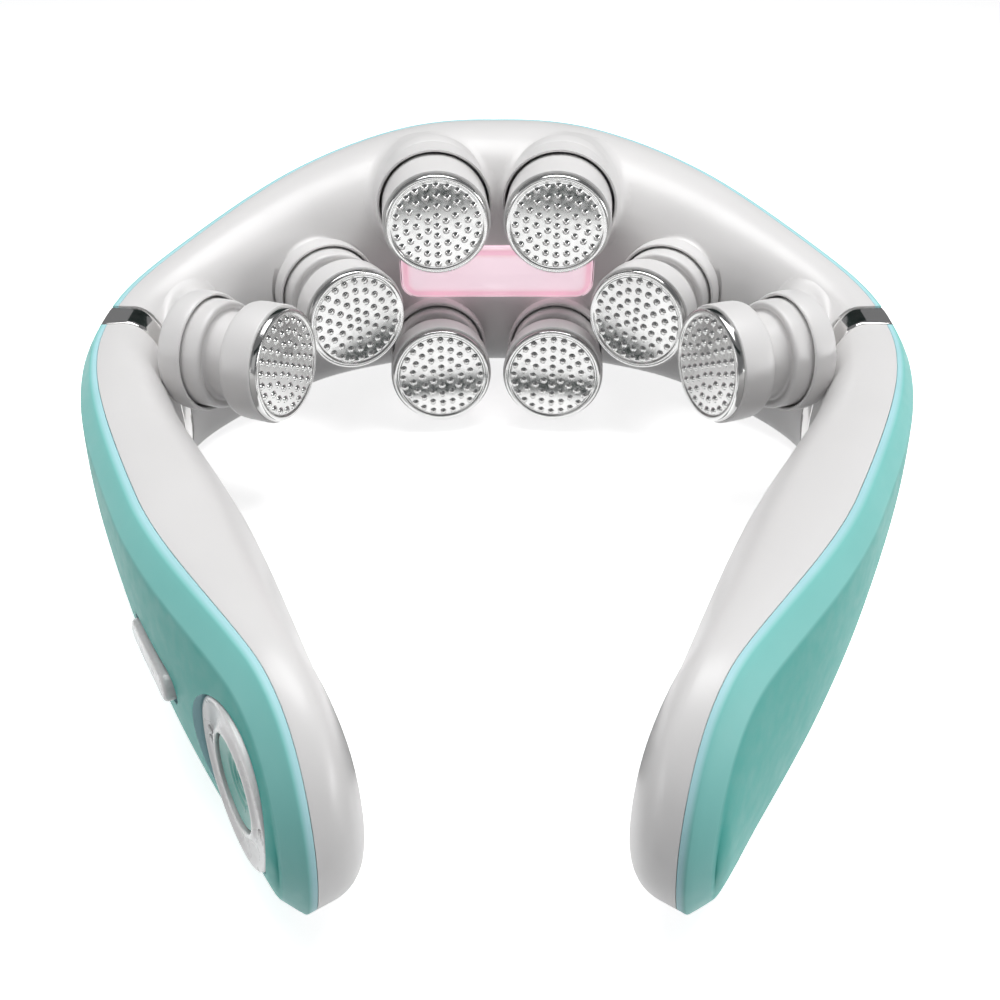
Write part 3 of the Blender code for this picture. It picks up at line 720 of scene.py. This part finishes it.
CUP_CORE = [(9.4, 8.3, 0.25), (9.0, 7.2, 0.4), (10.2, 6.6, 0), (10.2, 3.2, 0), (3.0, 3.2, 0), (3.0, 1.6, 0)]
CUP = softened([(11.0, 1.55, 0), (11.72, 1.55, 0.25), (11.72, 8.3, 2.3), *CUP_CORE])
LONG_CUP = softened([(11.0, 1.55, 0), (11.78, 1.55, 0.25), (11.72, 10.8, 0.5), (9.9, 10.8, 0.25),
                     *CUP_CORE])
NECK = [(0.01, 3.6, 0), (2.2, 4.4, 0.3), (2.2, 6.2, 0.3), (1.4, 7.9, 0.2), (8.62, 7.9, 0.3)]
STEM = softened([*NECK, (8.62, 13.25, 0.35), (9.2, 13.6, 0.25), (9.9, 13.05, 0.4), (10.82, 13.3, 1.0),
                 (10.82, 18.2, 0.4), (9.4, 18.2, 0), (9.4, 14.7, 0), (7.0, 14.7, 0), (7.0, 9.4, 0),
                 (0.01, 9.4, 0)])
SHORT_STEM = softened([*NECK, (8.62, 15.2, 0.35), (7.0, 15.2, 0), (7.0, 9.4, 0), (0.01, 9.4, 0)])
BASE = softened([(11.25, 17.25, 0), (11.35, 16.7, 0.4), (12.05, 16.75, 1.5), (12.05, 21.0, 1.8),
                 (11.0, 22.2, 0.8), (2.0, 22.2, 0), (2.0, 20.8, 0), (11.25, 20.8, 0)])
PAD = softened([(0.01, 0.34, 0), (9.9, 0.34, 0.6), (10.25, 0.1, 0.4), (11.25, 0.1, 1.1), (11.3, 2.0, 0.2),
                (10.4, 2.0, 0), (10.4, 1.3, 0), (0.01, 1.3, 0)], 6)


def studded_pad(at, sizes):
    """Pressed plate with a rolled rim and rings of small studs."""
    bm = turned(PAD, at, 96)
    width, height = sizes.stud_radius * 1000, sizes.stud_height * 1000
    dome = [(0.01, -height), (width * 0.36, -height * 0.90), (width * 0.66, -height * 0.58),
            (width * 0.86, -height * 0.22), (width * 1.16, 0.02)]
    spots = [(0.0, 0.0)]
    for ring in range(1, sizes.stud_rings + 1):
        count = 6 * ring
        for k in range(count):
            angle = 2 * math.pi * (k + 0.5 * (ring % 2)) / count
            r = ring * sizes.stud_pitch * 1000
            spots.append((r * math.cos(angle), r * math.sin(angle)))
    for x, y in spots:
        spot = at @ Matrix.Translation(Vector((x, y, -0.34)) * MM)
        joined(bm, turned(dome, spot, 12))
    return bm


# ------------------------------------------------------------------ controls
def outward_frame(side, s, z, out, tilt=0.0):
    """Frame on an arm's outer face: +Z outwards and tilted upwards by tilt degrees, +X level."""
    here = place(side * s, 0, z)
    away = (place(side * s, -1, z) - here).normalized()
    lifted = away + Vector((0, 0, math.tan(math.radians(tilt))))
    return frame_at(here + away * out * swell(s) * MM, lifted)


def dial_frame():
    """Frame of the rocker ring and the centre button, which face a little upwards."""
    return outward_frame(-1, DIAL_AT, CONTROL_Z, CONTROL_SEAT, DIAL_TILT)


def bar_frame():
    """Frame of the bar button."""
    return outward_frame(-1, BAR_AT, CONTROL_Z, CONTROL_OUT, DIAL_TILT)


def window_frame():
    """Frame of the heat window, on the inner wall of the back."""
    return frame_at(Vector((0, PLAN[0][1] - BACK_THICK - MIDDLE_Y, LENS_Z)) * MM, (0, -1, 0))


# ------------------------------------------------------------------ settings
class MassagerSizes(bpy.types.PropertyGroup):
    """Sizes of the finer details, all in metres."""
    stud_radius: FloatProperty(name="Stud radius", description="Radius of a stud on an electrode pad",
                               default=0.00072, unit="LENGTH")
    stud_height: FloatProperty(name="Stud height", description="How far a stud stands out of its pad",
                               default=0.00052, unit="LENGTH")
    stud_pitch: FloatProperty(name="Stud pitch", description="Distance between two rings of studs",
                              default=0.00226, unit="LENGTH")
    stud_rings: IntProperty(name="Stud rings", description="Rings of studs round the middle one", default=4,
                            min=1, max=6)
    ripple: FloatProperty(name="Ripple depth", description="Depth of the rings pressed in the centre button",
                          default=0.00016, unit="LENGTH")
    dish: FloatProperty(name="Ring dish", description="How far the rocker ring's face is dished",
                        default=0.0006, unit="LENGTH")
    floor_size: FloatProperty(name="Floor size", description="Width of the pale floor", default=6.0,
                              unit="LENGTH")


def colour_setting(label, text, default):
    return FloatVectorProperty(name=label, description=text, default=default, size=3, min=0.0, max=1.0,
                               subtype="COLOR")


class MassagerColours(bpy.types.PropertyGroup):
    """Linear colours of the finishes."""
    shell: colour_setting("Shell", "White satin plastic of the shells and heads", (0.76, 0.75, 0.745))
    cover: colour_setting("Cover", "Soft-touch face of the outer covers", (0.055, 0.42, 0.37))
    # The bevel and edge colours are lighter copies of the cover teal: painted light for the light the
    # chamfer and the edge catch.
    cover_bevel_painted_light: colour_setting("Cover bevel", "Bevel round an outer cover", (0.24, 0.63, 0.59))
    cover_edge_painted_light: colour_setting("Cover edge", "Pale edge round an outer cover", (0.46, 0.77, 0.82))
    chrome: colour_setting("Chrome", "Plated bands", (0.80, 0.79, 0.78))
    pad: colour_setting("Pad", "Polished electrode pads", (0.60, 0.60, 0.595))
    window: colour_setting("Window", "Middle of the heat window", (0.97, 0.78, 0.86))
    window_band: colour_setting("Window band", "Band inside the heat window's edge", (0.94, 0.55, 0.66))
    button: colour_setting("Buttons", "Rocker ring and bar button", (0.74, 0.73, 0.73))
    centre: colour_setting("Centre button", "Centre button in the ring", (0.05, 0.38, 0.32))
    steel: colour_setting("Steel", "Springs, hinge leaves and heater plate", (0.55, 0.55, 0.56))
    board: colour_setting("Board", "Control board", (0.02, 0.20, 0.08))
    cell: colour_setting("Cell", "Battery wrap", (0.10, 0.14, 0.30))
    floor: colour_setting("Floor", "Pale floor", (0.93, 0.93, 0.93))


# ------------------------------------------------------------------ operators
class MassagerBackShell(bpy.types.Operator):
    """Make the white inner shell of the back, with its posts, hoods and window opening"""
    bl_idname = "massager.back_shell"
    bl_label = "Back shell"

    def execute(self, context):
        stations = [(BACK_END * k / 66, 0.0) for k in range(-66, 67)]
        shell = solid("back_shell", shell_bmesh(stations, 1, 2))
        graph = context.evaluated_depsgraph_get()
        surface = BVHTree.FromObject(shell, graph)
        tools = []
        for side, _ in SIDES:
            for kind in HEADS:
                near = HOOD_FRONT - 2 if kind == "upper" else 12.0
                room = [(0.01, near), (ROOM_RADIUS, near), (ROOM_RADIUS, ROOM_FLOOR), (0.01, ROOM_FLOOR)]
                tools.append(turned(room, head_frame(kind, side), 64))
        tools.append(stadium((LENS_WIDTH + 0.6, LENS_HEIGHT + 0.6, 12), 4.3, window_frame()))
        carve(shell, tools)
        bm = bmesh.new()
        bm.from_mesh(shell.data)
        for side, _ in SIDES:
            for kind in HEADS:
                post_skirt(bm, kind, side, surface)
        bm.to_mesh(shell.data)
        bm.free()
        finished(shell, "back", look("shell satin"), ["back_inner_shell"], CREASE)
        return {"FINISHED"}


class MassagerHeatWindow(bpy.types.Operator):
    """Make the warm translucent window in the back's inner wall"""
    bl_idname = "massager.heat_window"
    bl_label = "Heat window"

    def execute(self, context):
        at = window_frame()
        bm = bmesh.new()
        half_width, half_height, corner = LENS_WIDTH / 2, LENS_HEIGHT / 2, 4.0
        insets = [(0.0, -1.3), (0.0, 0.5), (0.12, 0.85), (0.4, 1.1), (0.9, 1.25), (1.6, 1.32), (2.4, 1.30),
                  (3.0, 1.26), (4.2, 1.28), (half_height - 0.3, 1.40)]
        rows, uvs = [], []
        for inset, z in insets:
            radius = max(corner - inset, 0.05)
            row = []
            for cx, cy, start in ((1, 1, 0), (-1, 1, 90), (-1, -1, 180), (1, -1, 270)):
                for k in range(9):
                    angle = math.radians(start + 90 * k / 8)
                    row.append(at @ (Vector((cx * (half_width - inset - radius) + radius * math.cos(angle),
                                             cy * (half_height - inset - radius) + radius * math.sin(angle),
                                             z)) * MM))
            row.append(row[0])
            rows.append(row)
            uvs.append([(0.0, inset / 10) for _ in row])
        patch(bm, rows, uvs)
        bmesh.ops.remove_doubles(bm, verts=bm.verts, dist=2e-6)
        layer = bm.loops.layers.uv.verify()
        rims = [e for e in bm.edges if e.is_boundary]
        for face in bmesh.ops.holes_fill(bm, edges=rims, sides=0)["faces"]:
            for loop in face.loops:
                loop[layer].uv = (0.0, 0.6)
        window = name_uv(solid("heat_window", bm))
        finished(window, "back", look("window pink"), ["heat_lens"], 50)
        return {"FINISHED"}


class MassagerBackCover(bpy.types.Operator):
    """Make the teal cover round the outside of the back"""
    bl_idname = "massager.back_cover"
    bl_label = "Back cover"

    def execute(self, context):
        edge = CHAMFER + 1.0
        stations = [(-BACK_END, 0.0)]
        stations += [((BACK_END - edge) * k / 64, 0.0) for k in range(-64, 65)]
        stations += [(BACK_END, 0.0)]
        cover = name_uv(solid("back_cover", cover_bmesh(stations, 1, (-BACK_END, BACK_END))))
        finished(cover, "back", look("cover soft"), ["back_outer_cover"], CREASE)
        return {"FINISHED"}


class MassagerArmShells(bpy.types.Operator):
    """Make the white inner shells of both arms, with the charging port's opening under the left one"""
    bl_idname = "massager.arm_shells"
    bl_label = "Arm shells"

    def execute(self, context):
        for side, word in SIDES:
            shell = solid(f"{word}_arm_shell", shell_bmesh(arm_stations(ARM_START), side, 1))
            if side < 0:
                low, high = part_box("charging_socket")
                centre = (low + high) / 2
                forward = along(ARM_START + PORT_AT)[1]
                turn = Matrix.Rotation(math.atan2(forward.y, -forward.x), 4, "Z")
                port = Matrix.Translation(Vector((centre.x, centre.y, 0.004))) @ turn
                carve(shell, [stadium((9.8, 4.2, 9.0), 2.0, port)])
            finished(shell, f"{word}_arm", look("shell satin"), [f"{word}_arm_inner_shell"], CREASE)
        return {"FINISHED"}


class MassagerArmCovers(bpy.types.Operator):
    """Make the teal covers of both arms, with openings for the controls in the left one"""
    bl_idname = "massager.arm_covers"
    bl_label = "Arm covers"

    def execute(self, context):
        for side, word in SIDES:
            stations = [(ARM_START, 0.0)] + arm_stations(ARM_START + CHAMFER + 1.0)
            cover = solid(f"{word}_arm_cover", cover_bmesh(stations, side, (ARM_START,)))
            if side < 0:
                hole = softened([(0.01, -6, 0), (DIAL_RADIUS + 1.2, -6, 0), (DIAL_RADIUS + 0.3, -0.12, 0.5),
                                 (DIAL_RADIUS + 0.3, 4.2, 0), (0.01, 4.2, 0)])
                slot = stadium((BAR_LENGTH + 1.4, BAR_WIDTH + 1.6, 12), BAR_WIDTH / 2 + 0.7, bar_frame())
                carve(cover, [turned(hole, dial_frame(), 96), slot])
            finished(name_uv(cover), f"{word}_arm", look("cover soft"),
                     [f"{word}_arm_outer_cover"], CREASE)
        return {"FINISHED"}


class MassagerBands(bpy.types.Operator):
    """Make the chrome band at each hinge"""
    bl_idname = "massager.bands"
    bl_label = "Chrome bands"

    def execute(self, context):
        first, last = BACK_END + 0.5, ARM_START - SEAM
        for side, word in SIDES:
            steps = [(first, 0.35), (first + 0.08, 0.14), (first + 0.28, 0.0)]
            steps += [(first + 0.28 + (last - first - 0.56) * k / 6, 0.0) for k in range(1, 6)]
            steps += [(last - 0.28, 0.0), (last - 0.08, 0.14), (last, 0.35), (last, 1.1), (first, 1.1),
                      (first, 0.35)]
            rows = []
            for s, wall in steps:
                points = [(max(w, wall * 0.5), z) for w, z in profile(s, wall)][2:-2]
                out, high, low = -EDGE - 0.4 + wall, top(s) - wall, bottom(s) + wall
                for cx, cz, turn in ((out + 0.8, high - 0.8, 90), (out + 0.8, low + 0.8, 180)):
                    points += [(cx + 0.8 * math.cos(math.radians(turn + 15 * k)),
                                cz + 0.8 * math.sin(math.radians(turn + 15 * k))) for k in range(7)]
                points.append(points[0])
                rows.append([place(side * s, w, z) for w, z in points])
            bm = bmesh.new()
            patch(bm, rows)
            band = solid(f"{word}_band", bm)
            finished(band, f"{word}_arm", look("band chrome"), [f"{word}_hinge_ring"], 40)
        return {"FINISHED"}


class MassagerHeads(bpy.types.Operator):
    """Make the eight floating heads: flange, stem, cup and studded pad"""
    bl_idname = "massager.heads"
    bl_label = "Massage heads"

    def execute(self, context):
        sizes = context.scene.massager_sizes
        for side, word in SIDES:
            for kind in HEADS:
                at = head_frame(kind, side)
                name = f"{word}_{kind}"
                base = solid(f"{name}_flange", turned(BASE, at, 80))
                finished(base, "back", look("shell satin"), [f"{name}_head_base"])
                stem = solid(f"{name}_stem", turned(SHORT_STEM if kind == "upper" else STEM, at, 80))
                finished(stem, f"{name}_slider", look("shell satin"), [f"{name}_head_stem"])
                cup = solid(f"{name}_cup", turned(LONG_CUP if kind == "upper" else CUP, at, 80))
                finished(cup, f"{name}_pad", look("shell satin"), [f"{name}_head_cup"])
                pad = solid(f"{name}_studded_pad", studded_pad(at, sizes))
                finished(pad, f"{name}_pad", look("pad steel"), [f"{name}_electrode"], 50)
        return {"FINISHED"}


class MassagerControls(bpy.types.Operator):
    """Make the rocker ring, centre button and bar button in the left arm"""
    bl_idname = "massager.controls"
    bl_label = "Controls"

    def execute(self, context):
        sizes = context.scene.massager_sizes
        dial = dial_frame()
        bore, rim, deep, dish = DIAL_BORE, DIAL_RADIUS, CONTROL_DEEP, sizes.dish * 1000
        face = [(bore, deep, 0), (bore, 0.05, 0.25), (bore + 0.55, 0.0, 0.3), (bore + 1.3, dish * 0.8, 0.6),
                ((bore + rim) / 2, dish, 1.0), (rim - 1.3, dish * 0.75, 0.6), (rim - 0.5, -0.05, 0.3),
                (rim, 0.12, 0.3), (rim, deep, 0)]
        bm = turned(softened(face), dial, 112)
        marks = [(-8.9, 0.9, 1.9), (-8.9, -0.9, 1.9), (8.3, 0.0, 0.8), (8.9, 0.0, 1.5), (9.5, 0.0, 2.2)]
        for x, y, long in marks:
            size = (long, 0.42, 0.6) if x < 0 else (0.36, long, 0.6)
            spot = dial @ Matrix.Translation(Vector((x, y, -dish + 0.02)) * MM)
            joined(bm, stadium(size, 0.15, spot, 3, 0.1))
        finished(solid("rocker_ring", bm), "dial_ring", look("button satin"), ["dial_ring"])
        outline = []
        for k in range(41):
            r = max(CENTER_RADIUS * k / 40, 0.01)
            share = r / CENTER_RADIUS
            wave = math.cos(2 * math.pi * r / 1.25) * sizes.ripple * 1000 * (1 - ease(0.55, 0.8, share))
            outline.append((r, 1.5 - 0.95 * share ** 2.2 + wave))
        outline += [(CENTER_RADIUS, deep), (0.01, deep)]
        finished(solid("centre_press", turned(outline, dial, 80)), "center_button",
                 look("centre teal"), ["center_button"])
        bar = bar_frame() @ Matrix.Translation((0, 0, -deep / 2 * MM + 0.0004))
        key = stadium((BAR_LENGTH, BAR_WIDTH, deep + 0.8), BAR_WIDTH / 2 - 0.02, bar, 12, 0.7)
        finished(solid("bar_key", key), "bar_button", look("button satin"), ["bar_button"])
        return {"FINISHED"}


class MassagerInnerParts(bpy.types.Operator):
    """Give the springs, hinge leaves, heater, board, socket and battery their finishes"""
    bl_idname = "massager.inner_parts"
    bl_label = "Inner parts"

    def execute(self, context):
        looks = {"control_board": "board green", "battery": "cell wrap", "heater_plate": "hidden steel",
                 "charging_socket": "hidden steel"}
        for _, word in SIDES:
            for leaf in ("hinge_back_leaf", "hinge_arm_leaf"):
                looks[f"{word}_{leaf}"] = "hidden steel"
            for kind in HEADS:
                looks[f"{word}_{kind}_head_spring"] = "hidden steel"
        for name, finish in looks.items():
            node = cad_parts[name]
            for slot in node.material_slots:
                slot.material = look(finish)
        return {"FINISHED"}


# Camera: place in millimetres, tilt from straight down in degrees, focal length and sideways shift
CAMERA_AT, CAMERA_TILT, CAMERA_LENS = (0.0, -134.345 - MIDDLE_Y, 115.548), 54, (32.4, 0.003)
# Cards seen by reflections only: name, middle, size and tilt in degrees, in metres
CARDS = (("rear card", (0, 0.62, 0.42), (0.54, 0.42), 90),
         ("front card", (0, -0.30, 0.42), (0.9, 0.10), 35),
         # The near and far strips lie on the floor under the body and are seen only in the pads: painted
         # shade standing in for the shaded floor in their reflections.
         ("near shade strip", (0, -0.034 - MIDDLE_Y * MM, 0.0004), (0.070, 0.022), 0),
         ("far shade strip", (0, 0.020 - MIDDLE_Y * MM, 0.0004), (0.060, 0.013), 0))
# Lamps: name, place, aim, size and power, in metres and watts
LAMPS = (("top box", (0.02, 0.08, 0.60), (0, 0.02, 0.03), (0.55, 0.34), 3.4),
         ("front fill", (-0.42, -0.62, 0.42), (0, 0, 0.03), (0.5, 0.5), 0.3),
         ("left wash", (-0.52, -0.20, 0.08), (-0.05, -0.05, 0.02), (0.30, 0.10), 0.40),
         ("right wash", (0.52, -0.20, 0.08), (0.05, -0.05, 0.02), (0.30, 0.10), 1.0))


def reflected_card(name, spot, size, turn):
    """Dark card that the camera doesn't see, tilted about X."""
    bm = bmesh.new()
    bmesh.ops.create_grid(bm, x_segments=2, y_segments=2, size=0.5)
    bmesh.ops.scale(bm, vec=(*size, 1), verts=bm.verts)
    bmesh.ops.rotate(bm, cent=(0, 0, 0), verts=bm.verts, matrix=Matrix.Rotation(math.radians(turn), 3, "X"))
    bmesh.ops.translate(bm, vec=spot, verts=bm.verts)
    card = solid(name, bm)
    card.data.materials.append(dark_card(name))
    card.visible_camera = card.visible_diffuse = card.visible_shadow = False
    card.visible_transmission = False


def soft_lamp(name, spot, aim, size, power):
    """Rectangular area lamp at spot, turned towards aim."""
    lamp = bpy.data.lights.new(name, "AREA")
    lamp.shape = "RECTANGLE"
    lamp.size, lamp.size_y = size
    lamp.energy = power
    placed = bpy.data.objects.new(name, lamp)
    bpy.context.scene.collection.objects.link(placed)
    placed.location = spot
    placed.rotation_euler = (Vector(spot) - Vector(aim)).to_track_quat("Z", "Y").to_euler()


class MassagerStage(bpy.types.Operator):
    """Make the pale floor, the soft lights and the camera"""
    bl_idname = "massager.stage"
    bl_label = "Stage"

    def execute(self, context):
        scene = context.scene
        sizes, colours = scene.massager_sizes, scene.massager_colours
        bm = bmesh.new()
        bmesh.ops.create_grid(bm, x_segments=2, y_segments=2, size=sizes.floor_size / 2)
        floor = solid("floor", bm)
        for face in floor.data.polygons:
            if face.normal.z < 0:
                floor.data.flip_normals()
                break
        floor.data.materials.append(floor_paper("floor paper", colours.floor))
        floor.visible_diffuse = False
        bm = bmesh.new()
        bmesh.ops.create_uvsphere(bm, u_segments=64, v_segments=32, radius=sizes.floor_size * 0.45)
        dome = solid("backdrop", bm)
        dome.data.shade_smooth()
        dome.data.materials.append(floor_paper("backdrop paper", colours.floor))
        dome.visible_diffuse = dome.visible_glossy = dome.visible_shadow = False
        dome.visible_transmission = False
        for card in CARDS:
            reflected_card(*card)
        world = bpy.data.worlds.new("studio")
        world.use_nodes = True
        scene.world = world
        sky = world.node_tree.nodes["Background"]
        sky.inputs["Color"].default_value = (0.97, 0.98, 1.0, 1.0)
        sky.inputs["Strength"].default_value = 0.21
        for lamp in LAMPS:
            soft_lamp(*lamp)
        camera = bpy.data.cameras.new("camera")
        camera.sensor_width = 36.0
        camera.lens, camera.shift_x = CAMERA_LENS
        camera.clip_start = 0.005
        camera_object = bpy.data.objects.new("camera", camera)
        scene.collection.objects.link(camera_object)
        camera_object.location = Vector(CAMERA_AT) * MM
        camera_object.rotation_euler = (math.radians(CAMERA_TILT), 0, 0)
        scene.camera = camera_object
        scene.view_settings.view_transform = "Standard"
        return {"FINISHED"}


class MassagerPanel(bpy.types.Panel):
    """Sidebar panel with every step and setting"""
    bl_idname = "VIEW3D_PT_massager"
    bl_label = "Neck massager"
    bl_space_type = "VIEW_3D"
    bl_region_type = "UI"
    bl_category = "Massager"

    def draw(self, context):
        for step in STEPS:
            self.layout.operator(step.bl_idname)
        for group in (context.scene.massager_sizes, context.scene.massager_colours):
            box = self.layout.box()
            for setting in group.__annotations__:
                box.prop(group, setting)


STEPS = (MassagerStage, MassagerBackShell, MassagerHeatWindow, MassagerBackCover, MassagerArmShells,
         MassagerArmCovers, MassagerBands, MassagerHeads, MassagerControls, MassagerInnerParts)
CLASSES = (MassagerSizes, MassagerColours, *STEPS, MassagerPanel)


def register():
    for item in CLASSES:
        bpy.utils.register_class(item)
    bpy.types.Scene.massager_sizes = PointerProperty(type=MassagerSizes)
    bpy.types.Scene.massager_colours = PointerProperty(type=MassagerColours)


def unregister():
    del bpy.types.Scene.massager_colours
    del bpy.types.Scene.massager_sizes
    for item in reversed(CLASSES):
        bpy.utils.unregister_class(item)


def main():
    register()
    bpy.ops.massager.stage()
    bpy.ops.massager.back_shell()
    bpy.ops.massager.heat_window()
    bpy.ops.massager.back_cover()
    bpy.ops.massager.arm_shells()
    bpy.ops.massager.arm_covers()
    bpy.ops.massager.bands()
    bpy.ops.massager.heads()
    bpy.ops.massager.controls()
    bpy.ops.massager.inner_parts()


if __name__ == "__main__":
    main()
